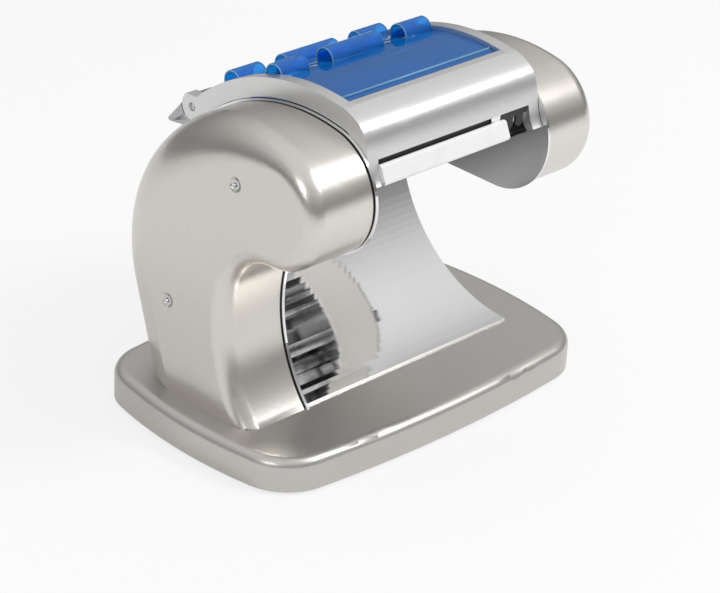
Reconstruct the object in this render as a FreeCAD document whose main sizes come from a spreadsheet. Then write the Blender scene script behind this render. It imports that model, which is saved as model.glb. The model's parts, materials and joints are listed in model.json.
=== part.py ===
import FreeCAD, Part
import math
import os
from types import SimpleNamespace
from FreeCAD import Placement, Rotation, Vector

# Electric pasta maker, in millimetres: +X runs along the rollers to the right,
# +Y to the rear and +Z up, with the origin under the middle of the base

driving = {
    "foot_height": 2.0,
    "foot_radius": 12.0,
    "foot_recess": 3.0,
    "base_length": 305.0,
    "base_depth": 203.0,
    "base_height": 23.3,
    "base_bow_long": 9.5,
    "base_bow_short": 12.5,
    "base_corner": 38.0,
    "base_edge": 7.0,
    "base_wall": 3.0,
    "base_plate_thick": 1.5,
    "base_boss_radius": 5.0,
    "roller_clear": 0.5,
    "plate_thick": 2.0,
    "plate_proud": 1.5,
    "gasket_thick": 1.0,
    "gasket_inset": 1.2,
    "gasket_width": 2.0,
    "nose_y": -55.0,
    "nose_z": 190.3,
    "nose_radius": 42.4,
    "top_y": -35.0,
    "top_radius": 145.0,
    "shoulder_z": 118.0,
    "shoulder_radius": 110.0,
    "back_lean": 18.4,
    "front_radius": 106.5,
    "front_z": 97.0,
    "neck_radius": 38.0,
    "neck_step": 1.3,
    "cap_rear_radius": 24.0,
    "case_wall": 3.0,
    "case_straight": 39.0,
    "case_dome": 12.0,
    "case_nose_dome": 16.0,
    "case_back_dome": 36.0,
    "cap_straight": 35.0,
    "cap_dome": 12.0,
    "running_gap": 0.3,
    "fit_gap": 0.05,
    "press_gap": 0.02,
    "roller_length": 150.0,
    "roller_radius": 13.3,
    "roller_nip": 0.4,
    "roller_y": -9.0,
    "roller_z": 200.0,
    "roller_travel": 2.4,
    "shaft_radius": 4.0,
    "cutter_radius": 11.9,
    "cutter_root": 10.0,
    "cutter_centres": 22.0,
    "narrow_pitch": 4.0,
    "narrow_disc": 1.7,
    "narrow_drop": 4.6,
    "narrow_lean": 138.5,
    "wide_pitch": 13.0,
    "wide_disc": 6.2,
    "wide_drop": 22.0,
    "bush_wall": 2.0,
    "bush_flange": 2.5,
    "gear_face": 6.0,
    "comb_thick": 2.5,
    "slide_radius": 112.0,
    "slide_front": -43.0,
    "slide_thick": 2.0,
    "slide_right": 114.0,
    "slide_rise": 10.0,
    "guard_clear": 2.0,
    "guard_depth": 13.0,
    "arm_thick": 9.0,
    "pivot_y": 77.4,
    "pivot_z": 199.1,
    "pivot_round": 10.0,
    "pin_radius": 3.0,
    "hood_drop": 3.0,
    "hood_thick": 2.0,
    "tunnel_radius": 8.2,
    "tunnel_lift": 1.4,
    "tunnel_wall": 1.6,
    "tunnel_short": 23.5,
    "tunnel_long": 46.0,
    "tunnel_gap": 21.0,
    "beam_thick": 2.5,
    "bar_thick": 4.6,
    "bar_end": 46.0,
    "finger_pitch": 9.6,
    "finger_width": 6.6,
    "deck_thick": 2.0,
    "rod_radius": 4.0,
    "gearbox_gap": 20.0,
    "gearbox_plate_thick": 2.0,
    "axle_radius": 3.0,
    "pillar_radius": 3.5,
    "motor_stack": 14.0,
    "motor_width": 64.0,
    "motor_height": 60.0,
    "rotor_radius": 15.7,
    "rotor_gap": 0.5,
    "knob_radius": 21.0,
    "knob_height": 15.0,
    "knob_y": 12.0,
    "knob_z": 188.0,
    "knob_turn": 200.0,
    "cam_thick": 4.0,
    "switch_width": 13.0,
    "switch_length": 19.0,
    "switch_z": 56.0,
    "inlet_width": 20.0,
    "inlet_height": 10.0,
    "inlet_depth": 15.0,
    "inlet_x": -98.0,
    "screw_head": 3.4,
    "screw_shank": 2.0,
}

# A number and the expression that it comes from


def text_of(number):
    return number.text if isinstance(number, Size) else repr(float(number))


class Size:
    def __init__(self, text, value):
        self.text = text
        self.value = float(value)

    def __float__(self):
        return self.value

    def __add__(self, other):
        return Size(f"({self.text} + {text_of(other)})", self.value + float(other))

    def __radd__(self, other):
        return Size(f"({text_of(other)} + {self.text})", float(other) + self.value)

    def __sub__(self, other):
        return Size(f"({self.text} - {text_of(other)})", self.value - float(other))

    def __rsub__(self, other):
        return Size(f"({text_of(other)} - {self.text})", float(other) - self.value)

    def __mul__(self, other):
        return Size(f"({self.text} * {text_of(other)})", self.value * float(other))

    def __rmul__(self, other):
        return Size(f"({text_of(other)} * {self.text})", float(other) * self.value)

    def __truediv__(self, other):
        return Size(f"({self.text} / {text_of(other)})", self.value / float(other))

    def __neg__(self):
        return Size(f"(0 - {self.text})", -self.value)


doc = FreeCAD.newDocument("PastaMaker")
sheet = doc.addObject("Spreadsheet::Sheet", "Sizes")
for row, (alias, number) in enumerate(driving.items(), start=1):
    sheet.set(f"A{row}", alias)
    sheet.set(f"B{row}", str(number))
    sheet.setAlias(f"B{row}", alias)
doc.recompute()
size = SimpleNamespace(**{name: Size("Sizes." + name, number) for name, number in driving.items()})
pieces = []
cover_screws = []
cover_posts = []
cover_gaskets = []

# Derived places that several pieces share

base_top = size.foot_height + size.base_height
outer_x = size.roller_length / 2 + size.roller_clear + size.bush_flange + size.plate_thick
inner_x = outer_x - size.plate_thick
case_open = outer_x + size.gasket_thick
case_face = case_open + size.case_straight + size.case_dome
cap_face = case_open + size.cap_straight + size.cap_dome
guard_inner = size.top_radius + size.guard_clear
guard_outer = guard_inner + size.guard_depth
hood_radius = guard_outer - size.hood_drop
bush_radius = size.shaft_radius + size.bush_wall
bore_radius = size.shaft_radius + size.fit_gap
roller_b_y = size.roller_y + 2 * size.roller_radius + size.roller_nip
top_z = float(size.nose_z) - math.sqrt(
    float(size.top_radius - size.nose_radius) ** 2 - float(size.top_y - size.nose_y) ** 2)
top_centre = (float(size.top_y), top_z)
nose_centre = (float(size.nose_y), float(size.nose_z))
pivot = (float(size.pivot_y), float(size.pivot_z))
arm_inner = inner_x - size.running_gap - size.arm_thick
hood_side = arm_inner - size.running_gap
yoke_thick = 2.0

# Tooth counts and modules of the drive

roller_teeth, roller_module = 18, 1.5
cutter_teeth, cutter_module = 22, 1.0
drive_teeth, narrow_teeth, wide_teeth, drive_module = 36, 21, 32, 1.5
main_teeth, main_pinion, main_module = 44, 12, 1.25
second_teeth, second_pinion, second_module = 46, 12, 1.25
first_teeth, motor_pinion, first_module = 64, 10, 1.0

# Plane geometry in the side view, as (y, z) pairs


def polar(centre, radius, angle):
    return (centre[0] + float(radius) * math.cos(angle), centre[1] + float(radius) * math.sin(angle))


def steer(centre, radius, degrees):
    # Degrees count from straight up, positive to the rear
    turn = math.radians(float(degrees))
    return (centre[0] + float(radius) * math.sin(turn), centre[1] + float(radius) * math.cos(turn))


def bearing(start, end):
    return math.atan2(end[1] - start[1], end[0] - start[0])


def spot(point):
    return Vector(point[0], point[1], 0)


def line(start, end):
    return Part.LineSegment(spot(start), spot(end))


def arc(centre, start, end, turn):
    # turn is 1 for anticlockwise and -1 for clockwise
    first = bearing(centre, start)
    last = bearing(centre, end)
    if turn > 0 and last < first:
        last += 2 * math.pi
    if turn < 0 and last > first:
        last -= 2 * math.pi
    middle = polar(centre, math.dist(centre, start), (first + last) / 2)
    return Part.Arc(spot(start), spot(middle), spot(end))


def polygon(points):
    return [line(point, points[(index + 1) % len(points)]) for index, point in enumerate(points)]


def toward(start, end, distance):
    return polar(start, distance, bearing(start, end))


def column_outline(inset=0.0, foot_inset=None):
    # Nose, long top arc, shoulder, leaning back, foot, hollow front and neck
    nose = float(size.nose_radius) - inset
    top = float(size.top_radius) - inset
    shoulder = float(size.shoulder_radius) - inset
    front = float(size.front_radius) + inset
    neck = float(size.neck_radius) + inset
    floor = float(base_top) + (inset if foot_inset is None else foot_inset)
    lean = math.radians(float(size.back_lean))
    shoulder_z = float(size.shoulder_z)
    shoulder_y = float(size.top_y) + math.sqrt(
        float(size.top_radius - size.shoulder_radius) ** 2 - (shoulder_z - top_z) ** 2)
    shoulder_centre = (shoulder_y, shoulder_z)
    neck_reach = float(size.nose_radius + size.neck_radius)
    neck_y = float(size.nose_y - size.neck_step)
    neck_centre = (neck_y, float(size.nose_z) - math.sqrt(neck_reach ** 2 - float(size.neck_step) ** 2))
    front_z = float(size.front_z)
    front_reach = float(size.front_radius - size.neck_radius)
    front_y = neck_y - math.sqrt(front_reach ** 2 - (neck_centre[1] - front_z) ** 2)
    front_centre = (front_y, front_z)
    nose_bottom = toward(nose_centre, neck_centre, nose)
    nose_top = toward(top_centre, nose_centre, top)
    top_end = toward(top_centre, shoulder_centre, top)
    back_top = polar(shoulder_centre, shoulder, -lean)
    back_foot = (back_top[0] - (back_top[1] - floor) * math.tan(lean), floor)
    front_foot = (front_y + math.sqrt(front ** 2 - (floor - front_z) ** 2), floor)
    front_end = toward(front_centre, neck_centre, front)
    return [
        arc(nose_centre, nose_bottom, nose_top, -1),
        arc(top_centre, nose_top, top_end, -1),
        arc(shoulder_centre, top_end, back_top, -1),
        line(back_top, back_foot),
        line(back_foot, front_foot),
        arc(front_centre, front_foot, front_end, 1),
        arc(neck_centre, front_end, nose_bottom, 1),
    ]


def rear_centre():
    # Centre of the small arc that closes the right-hand head at the rear
    height = float(size.nose_z - size.nose_radius + size.cap_rear_radius)
    reach = float(size.top_radius - size.cap_rear_radius)
    return (float(size.top_y) + math.sqrt(reach ** 2 - (height - top_z) ** 2), height)


def head_outline(inset=0.0):
    rear = rear_centre()
    nose = float(size.nose_radius) - inset
    small = float(size.cap_rear_radius) - inset
    nose_bottom = (nose_centre[0], nose_centre[1] - nose)
    nose_top = toward(top_centre, nose_centre, float(size.top_radius) - inset)
    top_end = toward(top_centre, rear, float(size.top_radius) - inset)
    rear_bottom = (rear[0], rear[1] - small)
    return [
        arc(nose_centre, nose_bottom, nose_top, -1),
        arc(top_centre, nose_top, top_end, -1),
        arc(rear, top_end, rear_bottom, -1),
        line(rear_bottom, nose_bottom),
    ]


# Builders that tie an object's sizes to the sheet


def bind(thing, **properties):
    for name, number in properties.items():
        thing.setExpression(name, text_of(number))
    return thing


def locate(thing, x=0.0, y=0.0, z=0.0):
    for axis, number in (("x", x), ("y", y), ("z", z)):
        thing.setExpression("Placement.Base." + axis, text_of(number))
    return thing


def keep(thing, label):
    thing.Label = label
    pieces.append(thing)
    return thing


def rod(name, start, end, y, z, radius):
    # A cylinder along X from start to end
    thing = doc.addObject("Part::Cylinder", name)
    thing.Placement = Placement(Vector(), Rotation(Vector(0, 1, 0), 90))
    bind(thing, Radius=radius, Height=end - start)
    return locate(thing, start, y, z)


def block(name, x, y, z, length, width, height):
    thing = doc.addObject("Part::Box", name)
    bind(thing, Length=length, Width=width, Height=height)
    return locate(thing, x, y, z)


def post(name, x, y, z, radius, height):
    thing = doc.addObject("Part::Cylinder", name)
    bind(thing, Radius=radius, Height=height)
    return locate(thing, x, y, z)


def fuse(name, things):
    joined = doc.addObject("Part::MultiFuse", name)
    joined.Shapes = things
    return joined


def cut(name, base, tools):
    result = doc.addObject("Part::Cut", name)
    result.Base = base
    result.Tool = tools[0] if len(tools) == 1 else fuse(name + "_tools", tools)
    return result


def group(name, things):
    together = doc.addObject("Part::Compound", name)
    together.Links = things
    return together


def sketch_on(body, role, offset, geometry):
    plane = [item for item in body.Origin.OriginFeatures if item.Role == role][0]
    sketch = body.newObject("Sketcher::SketchObject", body.Name + "_sketch")
    sketch.AttachmentSupport = [(plane, "")]
    sketch.MapMode = "FlatFace"
    sketch.setExpression("AttachmentOffset.Base.z", text_of(offset))
    sketch.addGeometry(geometry, False)
    return sketch


def prism(name, geometry, start, end):
    # A side-view outline carried along X
    body = doc.addObject("PartDesign::Body", name)
    sketch = sketch_on(body, "YZ_Plane", start, geometry)
    pad = body.newObject("PartDesign::Pad", name + "_pad")
    pad.Profile = sketch
    pad.setExpression("Length", text_of(end - start))
    doc.recompute()
    return body


def round_end(body, at_x, radius, floor=None):
    # Rounds the rim at one end of a prism, apart from an edge that stands on the floor
    tip = body.Tip
    names = []
    for index, edge in enumerate(tip.Shape.Edges, start=1):
        box = edge.BoundBox
        at_end = abs(box.XMin - float(at_x)) < 0.01 and abs(box.XMax - float(at_x)) < 0.01
        on_floor = floor is not None and box.ZMax < float(floor) + 0.01
        if at_end and not on_floor:
            names.append(f"Edge{index}")
    fillet = body.newObject("PartDesign::Fillet", body.Name + "_round")
    fillet.Base = (tip, names)
    fillet.setExpression("Radius", text_of(radius))
    doc.recompute()
    return body


def soften_end(body, at_x, outline, radii):
    # Rounds the rim at one end of a prism with radii that change from corner to corner
    fillet = doc.addObject("Part::Fillet", body.Name + "_soft")
    fillet.Base = body
    chosen = []
    for curve, pair in zip(outline, radii):
        if pair is None:
            continue
        middle = curve.value((curve.FirstParameter + curve.LastParameter) / 2)
        start = Vector(float(at_x), curve.StartPoint.x, curve.StartPoint.y)
        spot = Part.Vertex(Vector(float(at_x), middle.x, middle.y))
        for index, edge in enumerate(body.Shape.Edges, start=1):
            if edge.distToShape(spot)[0] < 0.001:
                along = (edge.valueAt(edge.FirstParameter) - start).Length < 0.01
                chosen.append((index, *(pair if along else pair[::-1])))
    fillet.Edges = chosen
    doc.recompute()
    return fillet


def solid_feature(name, shape):
    thing = doc.addObject("Part::Feature", name)
    thing.Shape = shape
    return thing


# Base: hollow shell, steel bottom plate, feet and screws


def base_solid(name, inset, bottom, top, corner):
    half_length = float(size.base_length) / 2 - inset
    half_depth = float(size.base_depth) / 2 - inset
    corner_x = half_length - float(size.base_bow_short)
    corner_y = half_depth - float(size.base_bow_long)
    corners = [(-corner_x, -corner_y), (corner_x, -corner_y), (corner_x, corner_y), (-corner_x, corner_y)]
    bulges = [(0, -half_depth), (half_length, 0), (0, half_depth), (-half_length, 0)]
    geometry = []
    for index, bulge in enumerate(bulges):
        geometry.append(Part.Arc(spot(corners[index]), spot(bulge), spot(corners[(index + 1) % 4])))
    body = doc.addObject("PartDesign::Body", name)
    sketch = sketch_on(body, "XY_Plane", bottom, geometry)
    pad = body.newObject("PartDesign::Pad", name + "_pad")
    pad.Profile = sketch
    pad.setExpression("Length", text_of(top - bottom))
    doc.recompute()
    upright = []
    for index, edge in enumerate(pad.Shape.Edges, start=1):
        if edge.BoundBox.ZLength > float(top - bottom) - 0.01 and edge.BoundBox.XLength < 0.01:
            upright.append(f"Edge{index}")
    fillet = body.newObject("PartDesign::Fillet", name + "_corners")
    fillet.Base = (pad, upright)
    fillet.setExpression("Radius", text_of(corner))
    doc.recompute()
    return body


def soften_rim(body, at_z, radius):
    tip = body.Tip
    names = []
    for index, edge in enumerate(tip.Shape.Edges, start=1):
        if abs(edge.BoundBox.ZMin - float(at_z)) < 0.01 and edge.BoundBox.ZLength < 0.01:
            names.append(f"Edge{index}")
    fillet = body.newObject("PartDesign::Fillet", body.Name + "_rim")
    fillet.Base = (tip, names)
    fillet.setExpression("Radius", text_of(radius))
    doc.recompute()
    return body


boss_x, boss_y = 96.0, 62.0
foot_x, foot_y = 118.0, 70.0
corners_of_base = [(-1, -1), (-1, 1), (1, -1), (1, 1)]
plate_z = size.foot_height + 0.6
boss_bottom = plate_z + size.base_plate_thick


def make_base():
    outer = base_solid("base_outer", 0.0, size.foot_height, base_top, size.base_corner)
    soften_rim(outer, base_top, size.base_edge)
    wall = float(size.base_wall)
    ceiling = base_top - size.base_wall
    inner_corner = size.base_corner - size.base_wall
    inner = base_solid("base_inner", wall, size.foot_height - 1.0, ceiling, inner_corner)
    soften_rim(inner, ceiling, size.base_edge - size.base_wall)
    hollow = cut("base_hollow", outer, [inner])
    bosses = []
    holes = []
    for index, (side, depth) in enumerate(corners_of_base):
        x, y = side * boss_x, depth * boss_y
        height = ceiling - boss_bottom + 0.5
        bosses.append(post(f"base_boss_{index}", x, y, boss_bottom, size.base_boss_radius, height))
        hole_radius = size.screw_shank + size.press_gap
        holes.append(post(f"base_boss_hole_{index}", x, y, boss_bottom - 0.5, hole_radius, 10.5))
    solid = fuse("base_with_bosses", [hollow] + bosses)
    inlet_cut = block(
        "inlet_window", size.inlet_x - size.inlet_width / 2 - size.running_gap, size.base_depth / 2 - 12,
        inlet_bottom - size.running_gap, size.inlet_width + 2 * size.running_gap, 20.0,
        size.inlet_height + 2 * size.running_gap)
    keep(cut("base_shell_cut", solid, holes + [inlet_cut]), "base_shell")

    plate = base_solid("bottom_sheet", wall + 0.3, plate_z, boss_bottom, inner_corner)
    holes = []
    screws = []
    for index, (side, depth) in enumerate(corners_of_base):
        x, y = side * boss_x, depth * boss_y
        hole_radius = size.screw_shank + size.running_gap
        holes.append(post(f"bottom_hole_{index}", x, y, plate_z - 1, hole_radius, 5.0))
        shank = post(f"base_shank_{index}", x, y, plate_z - 0.1, size.screw_shank, 9.0)
        head = post(f"base_head_{index}", x, y, plate_z - 1.6, size.screw_head, 1.6)
        screws.append(fuse(f"base_screw_{index}", [shank, head]))
    keep(cut("bottom_sheet_cut", plate, holes), "base_bottom_plate")
    keep(group("base_screw_set", screws), "base_screws")

    feet = []
    for index, (side, depth) in enumerate(corners_of_base):
        feet.append(post(f"foot_{index}", side * foot_x, depth * foot_y, 0.0, size.foot_radius, plate_z))
    keep(group("feet_set", feet), "rubber_feet")


inlet_bottom = boss_bottom + 2.0


def make_inlet():
    y_front = size.base_depth / 2 - 3.0
    x = size.inlet_x - size.inlet_width / 2
    body = block("inlet_block", x, y_front - size.inlet_depth, inlet_bottom,
                 size.inlet_width, size.inlet_depth, size.inlet_height)
    rim = 2.0
    recess = block("inlet_recess", x + rim, y_front - size.inlet_depth + 4.0, inlet_bottom + 1.5,
                   size.inlet_width - 2 * rim, size.inlet_depth, size.inlet_height - 3.0)
    pins = [cut("inlet_cut", body, [recess])]
    for index, side in enumerate((-1, 1)):
        pin = doc.addObject("Part::Cylinder", f"inlet_pin_{index}")
        pin.Placement = Placement(Vector(), Rotation(Vector(1, 0, 0), -90))
        bind(pin, Radius=1.2, Height=8.0)
        locate(pin, size.inlet_x + side * 4.8, y_front - size.inlet_depth + 4.0,
               inlet_bottom + size.inlet_height / 2)
        pins.append(pin)
    keep(group("inlet_set", pins), "power_inlet")


# Places of the shafts in the side view


def drive_distance(first, second, module):
    return module * (first + second) / 2


roller_a = (float(size.roller_y), float(size.roller_z))
roller_b = (float(roller_b_y), float(size.roller_z))
narrow_reach = drive_distance(drive_teeth, narrow_teeth, drive_module)
narrow_low = (
    roller_a[0] - math.sqrt(narrow_reach ** 2 - float(size.narrow_drop) ** 2),
    roller_a[1] - float(size.narrow_drop))
narrow_high = polar(narrow_low, size.cutter_centres, math.radians(float(size.narrow_lean)))
wide_reach = drive_distance(drive_teeth, wide_teeth, drive_module)
wide_front = (
    roller_a[0] + math.sqrt(wide_reach ** 2 - float(size.wide_drop) ** 2),
    roller_a[1] - float(size.wide_drop))
wide_rear = (wide_front[0] + float(size.cutter_centres), wide_front[1])
second_shaft = polar(roller_a, drive_distance(main_teeth, main_pinion, main_module), math.radians(-70.0))
first_shaft = polar(
    second_shaft, drive_distance(second_teeth, second_pinion, second_module), math.radians(-60.4))
motor_shaft = polar(
    first_shaft, drive_distance(first_teeth, motor_pinion, first_module), math.radians(-77.5))
fixed_shafts = [roller_a, narrow_low, narrow_high, wide_front, wide_rear]
case_screws = [(-26.0, 197.0), (36.0, 90.4)]
pillars = [(-48.0, 182.0), (50.0, 195.0), (68.0, 128.0), (-7.0, 106.0)]
tie_places = [(-20.0, 165.0), (12.0, 158.0), (-38.0, 222.0)]
cap_screws = [(-72.0, 180.0), (-12.0, 163.5), (-38.0, 219.0)]
gearbox_inner = -(outer_x + size.gearbox_gap)
gearbox_outer = gearbox_inner - size.gearbox_plate_thick


def make_side_plates():
    proud = -float(size.plate_proud)
    left = prism("left_plate_blank", column_outline(proud, 0.0), -outer_x, -inner_x)
    right = prism("right_plate_blank", head_outline(proud), inner_x, outer_x)
    for side, blank, label in ((-1, left, "left_side_plate"), (1, right, "right_side_plate")):
        low = -outer_x - 1 if side < 0 else inner_x - 1
        high = low + size.plate_thick + 2
        holes = []
        for index, (y, z) in enumerate(fixed_shafts):
            holes.append(rod(f"{label}_hole_{index}", low, high, y, z, bush_radius + size.press_gap))
        slot_radius = bush_radius + size.running_gap
        for index, y in enumerate((roller_b_y, roller_b_y + size.roller_travel)):
            holes.append(rod(f"{label}_slot_{index}", low, high, y, size.roller_z, slot_radius))
        holes.append(block(f"{label}_slot_middle", low, roller_b_y, size.roller_z - slot_radius,
                           high - low, size.roller_travel, 2 * slot_radius))
        if side < 0:
            for index, (y, z) in enumerate((second_shaft, first_shaft)):
                holes.append(rod(f"{label}_axle_{index}", low, high, y, z,
                                 size.axle_radius + size.press_gap))
        keep(cut(label + "_cut", blank, holes), label)


def casing_rounds(inset):
    # Rim radii from joint to joint: tight at the nose and front, wide at the shoulder and back
    tight = float(size.case_dome) - inset
    nose = float(size.case_nose_dome) - inset
    wide = float(size.case_back_dome) - inset
    return [(tight, nose), (nose, wide), (wide, wide), (wide, wide), None, (tight, tight), (tight, tight)]


def make_left_casing():
    face = -case_face
    opening = -case_open
    outer = prism("casing_outer", column_outline(0.0, 0.0), face, opening)
    wall = float(size.case_wall)
    inner = prism("casing_inner", column_outline(wall, wall), face + size.case_wall, opening + 1.0)
    outer = soften_end(outer, face, column_outline(0.0, 0.0), casing_rounds(0.0))
    inner = soften_end(inner, face + size.case_wall, column_outline(wall, wall), casing_rounds(wall))
    tools = [inner]
    screws = []
    posts = []
    for index, (y, z) in enumerate(case_screws):
        dimple = doc.addObject("Part::Cone", f"dimple_{index}")
        dimple.Placement = Placement(Vector(), Rotation(Vector(0, 1, 0), 90))
        bind(dimple, Radius1=size.screw_head + 2.4, Radius2=size.screw_head + 0.6, Height=2.4)
        locate(dimple, face - 0.4, y, z)
        tools.append(dimple)
        shank_hole = size.screw_shank + size.running_gap
        tools.append(rod(f"case_screw_hole_{index}", face - 1, face + 6, y, z, shank_hole))
        head = rod(f"case_head_{index}", face + 0.4, face + 2.0, y, z, size.screw_head)
        shank = rod(f"case_shank_{index}", face + 2.0, face + 8.0, y, z, size.screw_shank)
        slots = [block(f"case_drive_a_{index}", face, y - 2.0, z - 0.4, 1.4, 4.0, 0.8),
                 block(f"case_drive_b_{index}", face, y - 0.4, z - 2.0, 1.4, 0.8, 4.0)]
        screws.append(cut(f"case_screw_{index}", fuse(f"case_screw_solid_{index}", [head, shank]), slots))
        start = face + size.case_wall + size.running_gap
        seat = gearbox_outer if index == 0 else bracket_face
        body = rod(f"case_post_solid_{index}", start, seat, y, z, size.pillar_radius + 0.5)
        bore = rod(f"case_post_bore_{index}", start - 1, face + 8.2, y, z, size.screw_shank + size.press_gap)
        posts.append(cut(f"case_post_{index}", body, [bore]))
    tools += switch_window()
    keep(cut("casing_cut", outer, tools), "left_casing")
    cover_screws.extend(screws)
    cover_posts.extend(posts)

    band = float(size.gasket_inset + size.gasket_width)
    inset = float(size.gasket_inset)
    ring = prism("casing_gasket_outer", column_outline(inset, 0.2), opening, -outer_x)
    gap = prism("casing_gasket_inner", column_outline(band, band), opening - 1, -outer_x + 1)
    cover_gaskets.append(cut("casing_gasket_ring", ring, [gap]))


def make_right_cap():
    outer = prism("cap_outer", head_outline(), case_open, cap_face)
    round_end(outer, cap_face, size.cap_dome)
    wall = float(size.case_wall)
    inner = prism("cap_inner", head_outline(wall), case_open - 1.0, cap_face - size.case_wall)
    round_end(inner, cap_face - size.case_wall, size.cap_dome - size.case_wall)
    tools = [inner]
    tools.append(rod("knob_shaft_hole", cap_face - 8, cap_face + 1, size.knob_y, size.knob_z,
                     size.shaft_radius + size.running_gap))
    screws = []
    posts = []
    for index, (y, z) in enumerate(cap_screws):
        sink = rod(f"cap_sink_{index}", cap_face - 1.2, cap_face + 1, y, z, size.screw_head + 0.6)
        hole_radius = size.screw_shank + size.running_gap
        hole = rod(f"cap_screw_hole_{index}", cap_face - 8, cap_face, y, z, hole_radius)
        tools += [sink, hole]
        head = rod(f"cap_head_{index}", cap_face - 1.2, cap_face - 0.2, y, z, size.screw_head)
        shank = rod(f"cap_shank_{index}", cap_face - 12, cap_face - 1.2, y, z, size.screw_shank)
        screws.append(fuse(f"cap_screw_{index}", [head, shank]))
        end = cap_face - size.case_wall - size.running_gap
        body = rod(f"cap_post_solid_{index}", outer_x, end, y, z, size.pillar_radius)
        bore = rod(f"cap_post_bore_{index}", cap_face - 13, cap_face, y, z, size.screw_shank + size.press_gap)
        posts.append(cut(f"cap_post_{index}", body, [bore]))
    keep(cut("cap_cut", outer, tools), "right_cap")
    keep(group("cover_screw_set", cover_screws + screws), "cover_screws")
    keep(group("cover_post_set", cover_posts + posts), "cover_posts")
    inset = float(size.gasket_inset)
    band = inset + float(size.gasket_width)
    ring = prism("cap_gasket_outer", head_outline(inset), outer_x, case_open)
    gap = prism("cap_gasket_inner", head_outline(band), outer_x - 1, case_open + 1)
    cover_gaskets.append(cut("cap_gasket_ring", ring, [gap]))
    keep(group("gasket_set", cover_gaskets), "cover_gaskets")


# Slide, decks, rear cover and tie rods between the plates


def make_slide():
    radius = float(size.slide_radius)
    thick = float(size.slide_thick)
    centre = (float(size.slide_front), float(base_top) + thick + radius)
    top = centre[1] + float(size.slide_rise)
    inner_start = (centre[0], centre[1] - radius)
    outer_start = (centre[0], centre[1] - radius - thick)
    inner_end = (centre[0] + radius, centre[1])
    outer_end = (centre[0] + radius + thick, centre[1])
    geometry = [
        arc(centre, inner_start, inner_end, 1),
        line(inner_end, (inner_end[0], top)),
        line((inner_end[0], top), (outer_end[0], top)),
        line((outer_end[0], top), outer_end),
        arc(centre, outer_end, outer_start, -1),
        line(outer_start, inner_start),
    ]
    keep(prism("slide_sheet", geometry, -inner_x, size.slide_right), "pasta_slide")


deck_outer = guard_inner - 1.6
deck_inner = deck_outer - size.deck_thick
chute_front = roller_a[0] - 0.5
chute_rear = float(roller_b_y) + 1.8
chute_bottom = float(size.roller_z + size.roller_radius) + 2.4


def angle_at(radius, y):
    return math.degrees(math.asin((y - top_centre[0]) / float(radius)))


def make_decks():
    thick = float(size.deck_thick)
    front_angle = -11.0
    turn = angle_at(deck_outer, chute_front)
    inner_turn = angle_at(deck_inner, chute_front - thick)
    geometry = [
        arc(top_centre, steer(top_centre, deck_outer, front_angle), steer(top_centre, deck_outer, turn), -1),
        line(steer(top_centre, deck_outer, turn), (chute_front, chute_bottom)),
        line((chute_front, chute_bottom), (chute_front - thick, chute_bottom)),
        line((chute_front - thick, chute_bottom), steer(top_centre, deck_inner, inner_turn)),
        arc(top_centre, steer(top_centre, deck_inner, inner_turn),
            steer(top_centre, deck_inner, front_angle), 1),
        line(steer(top_centre, deck_inner, front_angle), steer(top_centre, deck_outer, front_angle)),
    ]
    keep(prism("front_deck_sheet", geometry, -inner_x, inner_x), "front_deck")

    start = angle_at(deck_outer, chute_rear)
    inner_start = angle_at(deck_inner, chute_rear + thick)
    end_angle = 47.0
    seat = float(size.pivot_round) + 0.4
    below = (pivot[0], pivot[1] - seat)
    lip_top = polar(pivot, seat, math.radians(-3.0))
    tip = (pivot[0] + 23.6, pivot[1] - 15.8)
    tip_low = (tip[0] - 1.5, tip[1] - 1.6)
    under = (pivot[0] - 4.0, pivot[1] - seat - 3.5)
    geometry = [
        line((chute_rear, chute_bottom), steer(top_centre, deck_outer, start)),
        arc(top_centre, steer(top_centre, deck_outer, start), steer(top_centre, deck_outer, end_angle), -1),
        line(steer(top_centre, deck_outer, end_angle), below),
        arc(pivot, below, lip_top, 1),
        line(lip_top, tip),
        line(tip, tip_low),
        line(tip_low, under),
        line(under, steer(top_centre, deck_inner, end_angle)),
        arc(top_centre, steer(top_centre, deck_inner, end_angle),
            steer(top_centre, deck_inner, inner_start), 1),
        line(steer(top_centre, deck_inner, inner_start), (chute_rear + thick, chute_bottom)),
        line((chute_rear + thick, chute_bottom), (chute_rear, chute_bottom)),
    ]
    sheet_body = prism("rear_deck_sheet", geometry, -inner_x, inner_x)
    lugs = []
    lug_length = 10.0
    lug_radius = 8.5
    lug_width, lug_drop = 14.0, 13.5
    for side in (-1, 1):
        start = hood_side - lug_length if side > 0 else -hood_side
        name = "right" if side > 0 else "left"
        lugs.append(rod(f"lug_round_{name}", start, start + lug_length,
                        size.pivot_y, size.pivot_z, lug_radius))
        lugs.append(block(f"lug_foot_{name}", start, size.pivot_y - lug_width / 2,
                          size.pivot_z - lug_drop, lug_length, lug_width, lug_drop))
    holes = [rod("lug_bore", -outer_x, outer_x, size.pivot_y, size.pivot_z, size.pin_radius + size.press_gap)]
    keep(cut("rear_deck_cut", fuse("rear_deck_solid", [sheet_body] + lugs), holes), "rear_deck")

    rear = rear_centre()
    cover_outer = float(size.cap_rear_radius) - 0.2
    cover_inner = cover_outer - thick
    high, low = math.radians(31.0), math.radians(-60.0)
    geometry = [
        arc(rear, polar(rear, cover_outer, high), polar(rear, cover_outer, low), -1),
        line(polar(rear, cover_outer, low), polar(rear, cover_inner, low)),
        arc(rear, polar(rear, cover_inner, low), polar(rear, cover_inner, high), 1),
        line(polar(rear, cover_inner, high), polar(rear, cover_outer, high)),
    ]
    keep(prism("rear_cover_sheet", geometry, -inner_x, inner_x), "rear_cover")

    rods = []
    for index, (y, z) in enumerate(tie_places):
        rods.append(rod(f"tie_{index}", -inner_x, inner_x, y, z, size.rod_radius))
    keep(group("tie_set", rods), "tie_rods")


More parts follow.
